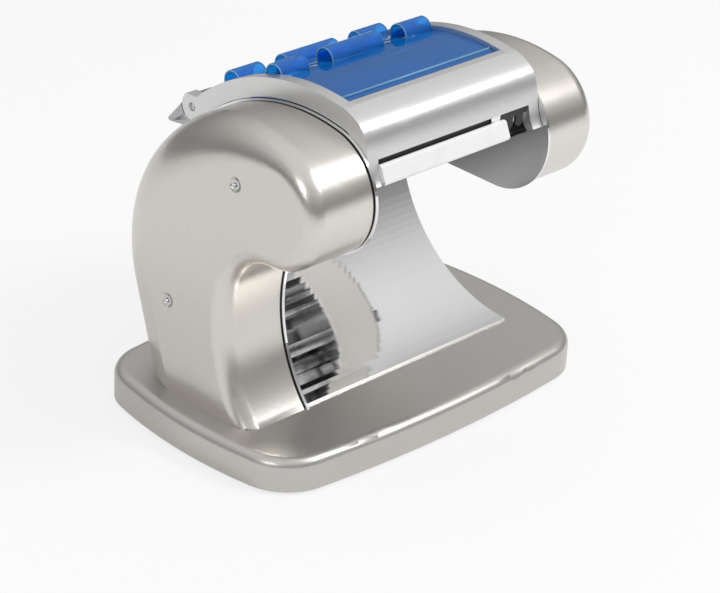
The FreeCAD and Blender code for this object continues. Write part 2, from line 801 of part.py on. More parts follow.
# Guard: two arms, front beam, deflector bar and the clear hood


def guard_front(offset):
    # Front line of the guard from its top down to the foot of the legs, moved in by offset
    return [
        (-64.0, 247.4 - offset), (-73.0, 244.0 - offset), (-80.5 + offset * 0.7, 238.5 - offset * 0.7),
        (-84.6 + offset, 230.0), (-87.0 + offset, 218.5), (-93.0 + offset, 203.0)]


def curve_through(points):
    curve = Part.BSplineCurve()
    curve.interpolate([spot(point) for point in points])
    return curve


def capsule(start, end, radius):
    # Outline of a bar with round edges between two centres
    along = bearing(start, end)
    sides = [polar(centre, radius, along + side * math.pi / 2)
             for centre, side in ((start, 1), (start, -1), (end, -1), (end, 1))]
    return [
        arc(start, sides[0], sides[1], 1),
        line(sides[1], sides[2]),
        arc(end, sides[2], sides[3], 1),
        line(sides[3], sides[0]),
    ]


hood_front_y = -58.0
hood_front = angle_at(hood_radius, hood_front_y)
hood_rear = 42.0


def make_guard():
    pivot_turn = math.degrees(math.atan2(pivot[0] - top_centre[0], pivot[1] - top_centre[1]))
    front = guard_front(0.0)
    top_start = steer(top_centre, guard_outer, -8.5)
    inner_front = steer(top_centre, guard_inner, -12.0)
    rear_outer = steer(top_centre, guard_outer, pivot_turn - 3.3)
    rear_inner = steer(top_centre, guard_inner, pivot_turn - 3.6)
    round_top = polar(pivot, size.pivot_round, math.radians(52.0))
    round_bottom = polar(pivot, size.pivot_round, math.radians(-128.0))
    geometry = [
        arc(top_centre, top_start, rear_outer, -1),
        line(rear_outer, round_top),
        arc(pivot, round_top, round_bottom, -1),
        line(round_bottom, rear_inner),
        arc(top_centre, rear_inner, inner_front, 1),
    ]
    leg_inner = [inner_front, (-76.0, 226.0), (-80.0, 214.0), (-88.0, 200.0)]
    geometry.append(curve_through(leg_inner))
    geometry.append(line(leg_inner[-1], front[-1]))
    geometry.append(curve_through(front[::-1]))
    geometry.append(line(front[0], top_start))
    arm_outer = inner_x - size.running_gap
    for side, label in ((-1, "guard_arm_left"), (1, "guard_arm_right")):
        start = arm_inner if side > 0 else -arm_outer
        blank = prism(label + "_blank", geometry, start, start + size.arm_thick)
        bore = rod(label + "_bore", start - 1, start + size.arm_thick + 1, size.pivot_y, size.pivot_z,
                   size.pin_radius + size.fit_gap)
        keep(cut(label + "_cut", blank, [bore]), label)

    thick = float(size.beam_thick)
    outer_line = guard_front(0.0)[:5]
    inner_line = guard_front(thick)[:5]
    back_top = (hood_front_y - 0.6, outer_line[0][1] + 0.2)
    back_low = (back_top[0], back_top[1] - thick)
    geometry = [
        line(back_top, outer_line[0]),
        curve_through(outer_line),
        line(outer_line[-1], inner_line[-1]),
        curve_through(inner_line[::-1]),
        line(inner_line[0], back_low),
        line(back_low, back_top),
    ]
    keep(prism("beam_sheet", geometry, -arm_inner, arm_inner), "front_beam")

    beam_foot = outer_line[-1]
    bar_high, bar_low = (-88.4, 213.0), (-92.2, 204.6)
    blade = prism("bar_blade", capsule(bar_high, bar_low, size.bar_thick / 2), -arm_inner, size.bar_end)
    round_end(blade, size.bar_end, size.bar_thick / 2 - 0.1)
    tab = block("bar_tab", size.bar_end - 12.0, beam_foot[0] + 0.1, bar_high[1],
                8.0, 1.1, beam_foot[1] - bar_high[1])
    keep(fuse("bar_solid", [blade, tab]), "deflector_bar")

    strip_front = beam_foot[0] + 1.4
    strip_thick = 2.0
    finger_low = 205.0
    rail_low = 213.5
    length = 2 * float(hood_side)
    strip = Part.makeBox(length, strip_thick, beam_foot[1] - rail_low,
                         Vector(-length / 2, strip_front, rail_low))
    count = int(length / float(size.finger_pitch))
    half_finger = float(size.finger_width) / 2
    for index in range(count):
        middle = (index - (count - 1) / 2) * float(size.finger_pitch)
        round_z = finger_low + half_finger
        finger = Part.makeBox(2 * half_finger, strip_thick, rail_low + 0.5 - round_z,
                              Vector(middle - half_finger, strip_front, round_z))
        tip = Part.makeCylinder(
            half_finger, strip_thick, Vector(middle, strip_front, round_z), Vector(0, 1, 0))
        strip = strip.fuse([finger, tip])
    keep(solid_feature("finger_strip_solid", strip.removeSplitter()), "finger_strip")

    outer = hood_radius
    inner = hood_radius - size.hood_thick
    geometry = [
        arc(top_centre, steer(top_centre, outer, hood_front), steer(top_centre, outer, hood_rear), -1),
        line(steer(top_centre, outer, hood_rear), steer(top_centre, inner, hood_rear)),
        arc(top_centre, steer(top_centre, inner, hood_rear), steer(top_centre, inner, hood_front), 1),
        line(steer(top_centre, inner, hood_front), steer(top_centre, outer, hood_front)),
    ]
    sheet_body = prism("hood_sheet", geometry, -hood_side, hood_side)
    tubes = []
    bores = []
    half_long = size.tunnel_long / 2
    far_start = half_long + size.tunnel_gap
    spans = [(-far_start - size.tunnel_short, -far_start), (-half_long, half_long),
             (far_start, far_start + size.tunnel_short)]
    for row, degrees in enumerate((16.7, 32.3)):
        y, z = steer(top_centre, hood_radius + size.tunnel_lift, degrees)
        for column, (start, end) in enumerate(spans):
            name = f"{row}_{column}"
            tubes.append(rod("tunnel_" + name, start, end, y, z, size.tunnel_radius))
            bores.append(rod("tunnel_bore_" + name, start - 0.5, end + 0.5, y, z,
                             size.tunnel_radius - size.tunnel_wall))
    trim_front, trim_rear, trim_radius = hood_front - 4, hood_rear + 4, 130
    below = prism("hood_below", [
        arc(top_centre, steer(top_centre, inner, trim_front), steer(top_centre, inner, trim_rear), -1),
        line(steer(top_centre, inner, trim_rear), steer(top_centre, trim_radius, trim_rear)),
        arc(top_centre, steer(top_centre, trim_radius, trim_rear),
            steer(top_centre, trim_radius, trim_front), 1),
        line(steer(top_centre, trim_radius, trim_front), steer(top_centre, inner, trim_front)),
    ], -outer_x, outer_x)
    keep(cut("hood_cut", fuse("hood_solid", [sheet_body] + tubes), bores + [below]), "guard_hood")

    pins = []
    for side in (-1, 1):
        name = "right" if side > 0 else "left"
        start = hood_side - 9.0 if side > 0 else -arm_outer
        end = arm_outer if side > 0 else -hood_side + 9.0
        shank = rod(f"pin_{name}", start, end, size.pivot_y, size.pivot_z, size.pin_radius)
        pins.append(shank)
    keep(group("pin_set", pins), "guard_pivot_pins")


# Toothed wheels with stub teeth on an involute flank


def wheel_face(teeth, module, phase):
    pressure = math.radians(25.0)
    pitch = module * teeth / 2
    foot = pitch - 1.05 * module
    tip = pitch + 0.8 * module
    ground = pitch * math.cos(pressure)
    backlash = 0.2
    half_tooth = (math.pi * module / 2 - backlash / 2) / 2 / pitch
    spread = math.tan(pressure) - pressure

    def flank(radius):
        if radius <= ground:
            return half_tooth + spread
        lift = math.acos(ground / radius)
        return half_tooth + spread - (math.tan(lift) - lift)

    radii = [foot, max(ground, foot), (max(ground, foot) + tip) / 2, tip]
    radii = [radius for index, radius in enumerate(radii) if index == 0 or radius > radii[index - 1] + 0.01]
    points = []
    for tooth in range(teeth):
        middle = phase + tooth * 2 * math.pi / teeth
        rising = [polar((0, 0), radius, middle - flank(radius)) for radius in radii]
        falling = [polar((0, 0), radius, middle + flank(radius)) for radius in reversed(radii)]
        points += rising + falling
    loop = [Vector(0, y, z) for y, z in points]
    return Part.Face(Part.makePolygon(loop + [loop[0]]))


def mesh_phase(teeth, phase, other_teeth, direction):
    # Phase of a wheel that meshes with another one lying in the given direction from it
    pitch = 2 * math.pi / teeth
    share = ((direction - phase) / pitch) % 1.0
    return direction + math.pi + (share + 0.5) * 2 * math.pi / other_teeth


def wheel(start, end, centre, teeth, module, phase, bore):
    # A bored toothed wheel from start to end along X
    shape = wheel_face(teeth, module, phase).extrude(Vector(float(end) - float(start), 0, 0))
    shape.translate(Vector(float(start), centre[0], centre[1]))
    return shape.cut(tube_x(float(start) - 1, float(end) + 1, centre, bore))


def tube_x(start, end, centre, radius, bore=0.0):
    direction = Vector(1, 0, 0)
    origin = Vector(float(start), centre[0], centre[1])
    length = float(end) - float(start)
    shape = Part.makeCylinder(float(radius), length, origin, direction)
    if float(bore) > 0:
        shape = shape.cut(Part.makeCylinder(float(bore), length, origin, direction))
    return shape


plane_one = outer_x + size.running_gap + yoke_thick + 1.0
plane_two = plane_one + size.gear_face + 2.0
plane_cam = plane_two + size.gear_face + 3.0
left_second = -(outer_x + 3.5)
left_main = left_second - size.gear_face
left_first = left_main - size.gear_face


def make_rollers():
    half = size.roller_length / 2
    for label, y, left_end, right_end in (
            ("fixed_roller", size.roller_y, gearbox_outer - 1.0, plane_two + size.gear_face + 0.5),
            ("adjustable_roller", roller_b_y, -outer_x - 3.0, plane_one + size.gear_face)):
        drum = rod(label + "_drum", -half, half, y, size.roller_z, size.roller_radius)
        shaft = rod(label + "_shaft", left_end, right_end, y, size.roller_z, size.shaft_radius)
        keep(fuse(label + "_solid", [drum, shaft]), label)


def cutter_shape(centre, pitch, disc, count, left_end, right_end):
    root = float(size.cutter_root)
    rim = float(size.cutter_radius)
    half = float(size.roller_length) / 2
    profile = [(-half, 0.0), (-half, root)]
    for index in range(count):
        middle = (index - (count - 1) / 2) * pitch
        profile += [(middle - disc / 2, root), (middle - disc / 2, rim)]
        profile += [(middle + disc / 2, rim), (middle + disc / 2, root)]
    profile += [(half, root), (half, 0.0)]
    points = [Vector(x, radius, 0) for x, radius in profile]
    face = Part.Face(Part.makePolygon(points + [points[0]]))
    drum = face.revolve(Vector(), Vector(1, 0, 0), 360)
    drum.translate(Vector(0, centre[0], centre[1]))
    return drum.fuse(tube_x(left_end, right_end, centre, size.shaft_radius)).removeSplitter()


def comb_shape(centre, pitch, disc, count, degrees):
    # Fingers reach into the grooves from a bar that spans the plates
    turn = math.radians(degrees)
    thick = float(size.comb_thick)
    finger = pitch - disc - 2 * float(size.running_gap)
    start = float(size.cutter_root) + 0.4
    bar_start = float(size.cutter_radius) + 1.0
    bar_width = 4.0
    bar = Part.makeBox(2 * float(inner_x), bar_width, thick, Vector(-float(inner_x), bar_start, -thick / 2))
    solid = bar
    for index in range(count):
        middle = (index - (count - 1) / 2) * pitch
        tooth = Part.makeBox(
            finger, bar_start + 0.5 - start, thick, Vector(middle - finger / 2, start, -thick / 2))
        solid = solid.fuse(tooth)
    solid = solid.removeSplitter()
    solid.rotate(Vector(), Vector(1, 0, 0), math.degrees(turn))
    solid.translate(Vector(0, centre[0], centre[1]))
    return solid


def make_cutters():
    pitch, disc = float(size.narrow_pitch), float(size.narrow_disc)
    narrow_count = int((float(size.roller_length) - disc) / pitch / 2) * 2 + 1
    left_end = -float(outer_x) - 1.0
    one_end = float(plane_one + size.gear_face)
    two_end = float(plane_two + size.gear_face) + 0.5
    keep(solid_feature("narrow_upper", cutter_shape(
        narrow_high, pitch, disc, narrow_count, left_end, one_end)), "narrow_cutter_upper")
    keep(solid_feature("narrow_lower", cutter_shape(
        narrow_low, pitch, disc, narrow_count - 1, left_end, two_end)), "narrow_cutter_lower")
    combs = [comb_shape(narrow_high, pitch, disc, narrow_count - 1, 232.0),
             comb_shape(narrow_low, pitch, disc, narrow_count - 2, 222.0)]
    keep(solid_feature("narrow_comb_set", Part.makeCompound(combs)), "narrow_combs")
    pitch, disc = float(size.wide_pitch), float(size.wide_disc)
    wide_count = int((float(size.roller_length) - disc) / pitch / 2) * 2 + 1
    keep(solid_feature("wide_front_cutter", cutter_shape(
        wide_front, pitch, disc, wide_count, left_end, two_end)), "wide_cutter_front")
    keep(solid_feature("wide_rear_cutter", cutter_shape(
        wide_rear, pitch, disc, wide_count - 1, left_end, one_end)), "wide_cutter_rear")
    combs = [comb_shape(wide_front, pitch, disc, wide_count - 1, 250.0),
             comb_shape(wide_rear, pitch, disc, wide_count - 2, 290.0)]
    keep(solid_feature("wide_comb_set", Part.makeCompound(combs)), "wide_combs")


def make_bushes():
    bushes = []
    for index, centre in enumerate(fixed_shafts):
        for side in (-1, 1):
            flange_end = float(inner_x)
            flange_start = flange_end - float(size.bush_flange)
            ends = (flange_start, flange_end) if side > 0 else (-flange_end, -flange_start)
            sleeve_end = float(outer_x) + 0.2
            sleeve = (flange_start, sleeve_end) if side > 0 else (-sleeve_end, -flange_start)
            shape = tube_x(sleeve[0], sleeve[1], centre, bush_radius, bore_radius)
            flange = tube_x(ends[0], ends[1], centre, bush_radius + 1.5, bore_radius)
            bushes.append(shape.fuse(flange).removeSplitter())
    keep(solid_feature("bush_set", Part.makeCompound(bushes)), "bearing_bushes")


def make_adjuster():
    # Bushes that carry the adjustable roller in the slots, and the follower of the cam
    centre = (float(roller_b_y), float(size.roller_z))
    inside = float(inner_x) - 2.4
    outside = float(outer_x) + float(size.running_gap)
    left = tube_x(-outside - yoke_thick, -inside, centre, bush_radius, bore_radius)
    washer = tube_x(-outside - yoke_thick, -outside, centre, bush_radius + 3.0, bore_radius)
    keep(solid_feature("adjuster_left", left.fuse(washer).removeSplitter()), "adjusting_bush_left")

    post_centre = (38.0, 206.0)
    knob = (float(size.knob_y), float(size.knob_z))
    cam_start = float(plane_cam)
    cam_end = cam_start + float(size.cam_thick)
    sleeve = tube_x(inside, outside + yoke_thick, centre, bush_radius, bore_radius)
    plate = tube_x(outside, outside + yoke_thick, centre, bush_radius + 2.0, bore_radius)
    eye = tube_x(outside, outside + yoke_thick, post_centre, 2.6)
    direction = bearing(centre, post_centre)
    reach = math.dist(centre, post_centre)
    link_start = bore_radius.value + 2.0
    link_width = 5.0
    link = Part.makeBox(yoke_thick, reach - link_start, link_width, Vector(0, link_start, -link_width / 2))
    link.rotate(Vector(), Vector(1, 0, 0), math.degrees(direction))
    link.translate(Vector(outside, centre[0], centre[1]))
    stem = tube_x(outside, cam_end, post_centre, 2.2)
    follower = Part.makeBox(cam_end - cam_start, 4.0, post_centre[1] + 2.2 - (knob[1] - 4.0),
                            Vector(cam_start, post_centre[0] - 2.0, knob[1] - 4.0))
    yoke = sleeve.fuse([plate, eye, link, stem, follower]).removeSplitter()
    keep(solid_feature("adjuster_right", yoke), "adjusting_yoke")

    # Spiral cam: its radius grows by the roller's travel over the knob's turn
    rest_radius = post_centre[0] - 2.0 - float(size.running_gap) - knob[0]
    growth = float(size.roller_travel) / math.radians(float(size.knob_turn))
    margin = math.radians(25.0)
    steps = 48
    span = math.radians(float(size.knob_turn)) + 2 * margin
    points = []
    for step in range(steps + 1):
        turn = -margin + span * step / steps
        # The point that faces the follower once the knob has turned by this much
        points.append(polar((0, 0), rest_radius + growth * turn, -turn))
    curve = Part.BSplineCurve()
    curve.interpolate([Vector(0, y, z) for y, z in points])
    hub = 12.0
    closing = Part.makePolygon([Vector(0, *points[-1]), Vector(0, -rest_radius * 0.3, rest_radius * 0.5),
                                Vector(0, *points[0])])
    rim = Part.Wire([curve.toShape()] + closing.Edges)
    cam = Part.Face(rim).extrude(Vector(float(size.cam_thick), 0, 0))
    cam.translate(Vector(cam_start, knob[0], knob[1]))
    hub_solid = tube_x(cam_start - 1.0, cam_end + 3.0, knob, hub)
    cam = cam.fuse(hub_solid).removeSplitter()
    knob_start = float(cap_face) + float(size.running_gap)
    shaft = tube_x(cam_start - 1.0, knob_start + 8.0, knob, size.shaft_radius)
    keep(solid_feature("spiral_cam", cam.fuse(shaft).removeSplitter()), "thickness_cam")
    grip = Part.makeCone(float(size.knob_radius), float(size.knob_radius) - 2.0, float(size.knob_height),
                         Vector(knob_start, knob[0], knob[1]), Vector(1, 0, 0))
    grip_end = knob_start + float(size.knob_height)
    end_rim = [edge for edge in grip.Edges if abs(edge.BoundBox.XMin - grip_end) < 0.01]
    grip = grip.makeFillet(2.0, end_rim)
    flutes = 16
    for index in range(flutes):
        place = polar(knob, float(size.knob_radius) + 0.6, (index + 0.5) * 2 * math.pi / flutes)
        grip = grip.cut(tube_x(knob_start + 3.0, knob_start + 40.0, place, 2.4))
    grip = grip.cut(tube_x(knob_start - 1, knob_start + 8.2, knob, size.shaft_radius + size.press_gap))
    pointer = Part.makeBox(0.6, 12.0, 2.0, Vector(grip_end - 0.1, knob[0] + 4.0, knob[1] - 1.0))
    keep(solid_feature("knob_grip", grip.fuse(pointer).removeSplitter()), "thickness_knob")


def make_wheels():
    bore = size.shaft_radius + size.press_gap
    # Roller wheels
    one_start, one_end = plane_one, plane_one + size.gear_face
    two_start, two_end = plane_two, plane_two + size.gear_face
    phase_b = mesh_phase(roller_teeth, 0.0, roller_teeth, bearing(roller_a, roller_b))
    keep(solid_feature("wheel_roller_a", wheel(
        one_start, one_end, roller_a, roller_teeth, roller_module, 0.0, bore)), "fixed_roller_gear")
    keep(solid_feature("wheel_roller_b", wheel(
        one_start, one_end, roller_b, roller_teeth, roller_module, phase_b, bore)), "adjustable_roller_gear")
    keep(solid_feature("wheel_transfer", wheel(
        two_start, two_end, roller_a, drive_teeth, drive_module, 0.0, bore)), "transfer_gear")
    for name, centre, teeth in (("narrow", narrow_low, narrow_teeth), ("wide", wide_front, wide_teeth)):
        phase = mesh_phase(drive_teeth, 0.0, teeth, bearing(roller_a, centre))
        keep(solid_feature(f"wheel_{name}_drive", wheel(
            two_start, two_end, centre, teeth, drive_module, phase, bore)), f"{name}_drive_gear")
    for name, first, second in (("narrow", narrow_low, narrow_high), ("wide", wide_front, wide_rear)):
        phase = mesh_phase(cutter_teeth, 0.0, cutter_teeth, bearing(first, second))
        keep(solid_feature(f"wheel_{name}_first", wheel(
            one_start, one_end, first, cutter_teeth, cutter_module, 0.0, bore)), f"{name}_pair_gear_driving")
        keep(solid_feature(f"wheel_{name}_second", wheel(
            one_start, one_end, second, cutter_teeth, cutter_module, phase, bore)), f"{name}_pair_gear_driven")
    # Reduction in the left casing
    main_start, main_end = left_main - size.gear_face + 0.5, left_main
    second_start, second_end = left_second - size.gear_face + 0.5, left_second
    first_start, first_end = gearbox_inner + 0.4, left_first
    pin_bore = size.axle_radius + size.fit_gap
    keep(solid_feature("wheel_main", wheel(
        main_start, main_end, roller_a, main_teeth, main_module, 0.0, bore)), "main_gear")
    pinion_phase = mesh_phase(main_teeth, 0.0, main_pinion, bearing(roller_a, second_shaft))
    second_gear = wheel(second_start, second_end, second_shaft, second_teeth, second_module, 0.0, pin_bore)
    pinion = wheel(main_start, second_start, second_shaft, main_pinion, main_module, pinion_phase, pin_bore)
    keep(solid_feature("wheel_second", second_gear.fuse(pinion)), "second_reduction_gear")
    pinion_phase = mesh_phase(second_teeth, 0.0, second_pinion, bearing(second_shaft, first_shaft))
    first_gear = wheel(first_start, first_end, first_shaft, first_teeth, first_module, 0.0, pin_bore)
    pinion = wheel(first_end, second_end, first_shaft, second_pinion, second_module, pinion_phase, pin_bore)
    keep(solid_feature("wheel_first", first_gear.fuse(pinion)), "first_reduction_gear")
    motor_phase = mesh_phase(first_teeth, 0.0, motor_pinion, bearing(first_shaft, motor_shaft))
    keep(solid_feature("wheel_motor", wheel(
        first_start, first_end, motor_shaft, motor_pinion, first_module, motor_phase,
        motor_shaft_radius + size.press_gap)), "motor_pinion")


motor_shaft_radius = size.axle_radius * 0.6


def make_gearbox():
    outline = [(-55.0, 172.0), (-55.0, 190.0), (-32.0, 221.0), (0.0, 221.0), (30.0, 213.0), (55.0, 197.0),
               (62.0, 172.0), (76.0, 132.0), (76.0, 118.0), (62.0, 60.0), (-6.0, 60.0), (-13.0, 96.0),
               (-13.0, 112.0), (-19.0, 137.0), (-36.0, 152.0)]
    blank = prism("gearbox_blank", polygon(outline), gearbox_outer, gearbox_inner)
    low, high = gearbox_outer - 1, gearbox_inner + 1
    holes = [rod("gearbox_roller_hole", low, high, roller_a[0], roller_a[1], bore_radius)]
    for index, (y, z) in enumerate((second_shaft, first_shaft)):
        holes.append(rod(f"gearbox_axle_{index}", low, high, y, z,
                                 size.axle_radius + size.press_gap))
    motor_hole = motor_shaft_radius + 1.5
    holes.append(rod("gearbox_motor_hole", low, high, motor_shaft[0], motor_shaft[1], motor_hole))
    keep(cut("gearbox_cut", blank, holes), "gearbox_plate")
    stands = []
    for index, (y, z) in enumerate(pillars):
        stands.append(rod(f"pillar_{index}", gearbox_inner, -outer_x, y, z, size.pillar_radius))
    keep(group("pillar_set", stands), "gearbox_pillars")
    axles = []
    for index, (y, z) in enumerate((second_shaft, first_shaft)):
        axles.append(rod(f"axle_{index}", gearbox_outer, -inner_x, y, z, size.axle_radius))
    keep(group("axle_set", axles), "reduction_axles")


bracket_thick = 1.6
bracket_foot = 2.0
bracket_face = -case_face + size.case_wall + 5.6


def make_motor():
    centre_y, centre_z = motor_shaft
    stack_start = bracket_face + bracket_thick + bracket_foot
    stack_end = stack_start + size.motor_stack
    bottom = centre_z - size.motor_height * 0.62
    stack = block("stack_block", stack_start, centre_y - size.motor_width / 2, bottom,
                  size.motor_stack, size.motor_width, size.motor_height)
    bore = rod("stack_bore", stack_start - 1, stack_end + 1, centre_y, centre_z,
               size.rotor_radius + size.rotor_gap)
    leg = 8.0
    window_width = 44.0
    window_height = 11.0
    window = block("stack_window", stack_start - 1, centre_y - window_width / 2, bottom + leg,
                   size.motor_stack + 2, window_width, window_height)
    keep(cut("stack_cut", stack, [bore, window]), "motor_stack")
    coil_width = 40.0
    coil = block("coil_block", stack_start - 3.5, centre_y - coil_width / 2, bottom - 7.0,
                 size.motor_stack + 7.0, coil_width, leg + 7.0 + window_height - 0.6)
    core = block("coil_core", stack_start, centre_y - coil_width, bottom,
                 size.motor_stack, coil_width * 2, leg)
    keep(cut("coil_cut", coil, [core]), "motor_coil")
    rotor = rod("rotor_core", stack_start + 1, stack_end - 1, centre_y, centre_z, size.rotor_radius)
    shaft = rod("rotor_shaft", bracket_face - 1.5, left_first + 1.0, centre_y, centre_z, motor_shaft_radius)
    keep(fuse("rotor_solid", [rotor, shaft]), "motor_rotor")
    bar = block("bracket_bar", bracket_face, centre_y - size.motor_width / 2, centre_z - 14,
                bracket_thick, size.motor_width, 22.0)
    hole = rod("bracket_hole", bracket_face - 1, stack_start, centre_y, centre_z,
               motor_shaft_radius + size.fit_gap)
    feet = []
    for side in (-1, 1):
        feet.append(rod(f"bracket_foot_{side + 1}", bracket_face + bracket_thick, stack_start,
                        centre_y + side * 26.0, centre_z, 4.0))
    keep(cut("bracket_cut", fuse("bracket_solid", [bar] + feet), [hole]), "motor_bracket")
    mounts = []
    for index, (dy, dz) in enumerate(((-26.0, 17.0), (26.0, 17.0), (-26.0, -33.0), (26.0, -33.0))):
        mounts.append(rod(f"motor_mount_{index}", stack_end, gearbox_outer,
                          centre_y + dy, centre_z + dz, 3.0))
    keep(group("motor_mount_set", mounts), "motor_mounts")


# Power switch on the leaning back of the column


def back_point(height):
    outline = column_outline(0.0, 0.0)
    top, foot = outline[3].StartPoint, outline[3].EndPoint
    share = (height - foot.y) / (top.y - foot.y)
    return foot.x + share * (top.x - foot.x)


switch_x = -(case_open + size.case_straight / 2)
switch_y = back_point(float(size.switch_z))
switch_turn = Rotation(Vector(1, 0, 0), -(90.0 + float(size.back_lean)))


def on_back(thing):
    # Carries a thing from its own frame, with +Z outwards, onto the back of the column
    thing.Placement = Placement(Vector(float(switch_x), switch_y, float(size.switch_z)), switch_turn)
    return thing


def centred_box(name, length, width, bottom, top, shift=0.0):
    thing = doc.addObject("Part::Box", name)
    bind(thing, Length=length, Width=width, Height=top - bottom)
    thing.Placement = Placement(Vector(-float(length) / 2 + shift, -float(width) / 2, bottom), Rotation())
    return thing


def switch_window():
    window = centred_box("switch_window_box", size.switch_width + 0.4, size.switch_length + 0.4, -8.0, 3.0)
    return [on_back(group("switch_window_placed", [window]))]


def make_switch():
    body = centred_box("switch_body", size.switch_width, size.switch_length, -13.0, 0.2)
    flange = centred_box("switch_flange", size.switch_width + 3.0, size.switch_length + 3.0, 0.2, 1.7)
    cavity = centred_box("switch_cavity", size.switch_width - 3.4, size.switch_length - 3.0, -8.0, 3.0)
    bare = cut("switch_bare", fuse("switch_solid", [body, flange]), [cavity])
    keep(on_back(group("switch_placed", [bare])), "switch_housing")
    tilt = math.radians(8.0)
    half = float(size.switch_length) / 2 - 2.6
    width = float(size.switch_width) - 4.0
    profile = [(-half, 1.2), (-half, 3.4), (0.0, 1.8), (half, 3.4), (half, 1.2), (3.0, -3.0), (-3.0, -3.0)]
    points = []
    for v, n in profile:
        points.append(Vector(-width / 2, v * math.cos(tilt) - n * math.sin(tilt),
                             v * math.sin(tilt) + n * math.cos(tilt)))
    shape = Part.Face(Part.makePolygon(points + [points[0]])).extrude(Vector(width, 0, 0))
    pins = Part.makeCylinder(0.8, float(size.switch_width) - 3.5,
                             Vector(-(float(size.switch_width) - 3.5) / 2, 0, 0), Vector(1, 0, 0))
    shape = shape.fuse(pins).removeSplitter()
    thing = solid_feature("rocker_shape", shape)
    on_back(thing)
    keep(thing, "power_rocker")


make_base()
make_inlet()
make_side_plates()
make_left_casing()
make_right_cap()
make_slide()
make_decks()
make_guard()
make_rollers()
make_cutters()
make_bushes()
make_adjuster()
make_wheels()
make_gearbox()
make_motor()
make_switch()
doc.recompute()

for thing in doc.Objects:
    if "Invalid" in thing.State or "Error" in thing.State:
        raise RuntimeError("not rebuilt: " + thing.Label)
os.makedirs("parts", exist_ok=True)
unsound = [thing.Label for thing in pieces
           if thing.Shape.isNull() or not thing.Shape.isValid() or not thing.Shape.Solids]
if unsound:
    raise RuntimeError("no sound solid in " + ", ".join(unsound))
for thing in pieces:
    thing.Shape.exportStep(os.path.join("parts", thing.Label + ".step"))
    box = thing.Shape.BoundBox
    print(f"{thing.Label:28s} {len(thing.Shape.Solids):3d} {thing.Shape.Volume:12.1f}"
          f"  x {box.XMin:7.1f} {box.XMax:7.1f}  y {box.YMin:7.1f} {box.YMax:7.1f}"
          f"  z {box.ZMin:6.1f} {box.ZMax:6.1f}")
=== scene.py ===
import json
import math
import bmesh
import bpy
from mathutils import Matrix, Vector


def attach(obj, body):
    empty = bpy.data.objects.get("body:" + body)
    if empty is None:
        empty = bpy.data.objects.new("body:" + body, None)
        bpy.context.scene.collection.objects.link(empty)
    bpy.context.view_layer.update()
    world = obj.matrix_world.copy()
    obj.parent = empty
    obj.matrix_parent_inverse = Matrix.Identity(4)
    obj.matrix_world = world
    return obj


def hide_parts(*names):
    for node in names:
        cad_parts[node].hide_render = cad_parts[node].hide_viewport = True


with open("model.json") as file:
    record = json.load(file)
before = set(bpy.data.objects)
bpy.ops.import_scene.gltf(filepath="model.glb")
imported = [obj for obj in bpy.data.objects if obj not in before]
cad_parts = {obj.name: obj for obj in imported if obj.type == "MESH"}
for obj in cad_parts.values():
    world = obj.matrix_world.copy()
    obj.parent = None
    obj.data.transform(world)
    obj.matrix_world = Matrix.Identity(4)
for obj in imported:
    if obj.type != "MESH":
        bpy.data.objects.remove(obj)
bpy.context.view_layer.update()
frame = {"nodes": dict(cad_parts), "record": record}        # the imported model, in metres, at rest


# Shader helpers

class Wire:
    def __init__(self, finish, socket):
        self.finish, self.socket = finish, socket

    def math(self, operation, first, second=0.0):
        return self.finish.node("ShaderNodeMath", {"operation": operation}, {0: first, 1: second})

    def __add__(self, other):
        return self.math("ADD", self, other)

    def __radd__(self, other):
        return self.math("ADD", other, self)

    def __sub__(self, other):
        return self.math("SUBTRACT", self, other)

    def __rsub__(self, other):
        return self.math("SUBTRACT", other, self)

    def __mul__(self, other):
        return self.math("MULTIPLY", self, other)

    def __rmul__(self, other):
        return self.math("MULTIPLY", other, self)


class Finish:
    def __init__(self, name, **shader):
        self.material = bpy.data.materials.new(name)
        self.material.use_nodes = True
        self.tree = self.material.node_tree
        self.shader = self.tree.nodes["Principled BSDF"]
        self.set(**shader)
        self.place = self.node("ShaderNodeTexCoord", out="Object")

    def node(self, kind, settings=None, inputs=None, out=0):
        made = self.tree.nodes.new(kind)
        for key, value in (settings or {}).items():
            setattr(made, key, value)
        for key, value in (inputs or {}).items():
            self.join(made.inputs[key], value)
        return Wire(self, made.outputs[out])

    def join(self, socket, value):
        if isinstance(value, Wire):
            self.tree.links.new(value.socket, socket)
        elif isinstance(value, (tuple, list)) and len(value) == 3 and socket.type == "RGBA":
            socket.default_value = (*value, 1.0)
        else:
            socket.default_value = value

    def set(self, **shader):
        for key, value in shader.items():
            self.join(self.shader.inputs[key.replace("_", " ")], value)

    def stretch(self, scale):
        return self.node("ShaderNodeMapping", inputs={"Vector": self.place, "Scale": scale})

    def noise(self, scale, detail=3.0, rough=0.55, vector=None):
        return self.node("ShaderNodeTexNoise", inputs={
            "Vector": vector or self.place, "Scale": scale, "Detail": detail, "Roughness": rough})

    def between(self, value, low, high, start=0.0, end=1.0):
        return self.node("ShaderNodeMapRange", inputs={
            "Value": value, "From Min": low, "From Max": high, "To Min": start, "To Max": end})

    def mix(self, share, first, second):
        return self.node("ShaderNodeMix", {"data_type": "RGBA"}, {0: share, 6: first, 7: second}, out=2)

    def bump(self, height, distance, strength=1.0):
        self.set(Normal=self.node("ShaderNodeBump", inputs={
            "Strength": strength, "Distance": distance, "Height": height}))


def shade(colour, amount):
    return tuple(min(1.0, part * amount) for part in colour)


# Finishes

paint = {"flake": 5200.0, "scuff": 90.0, "peel": 420.0}


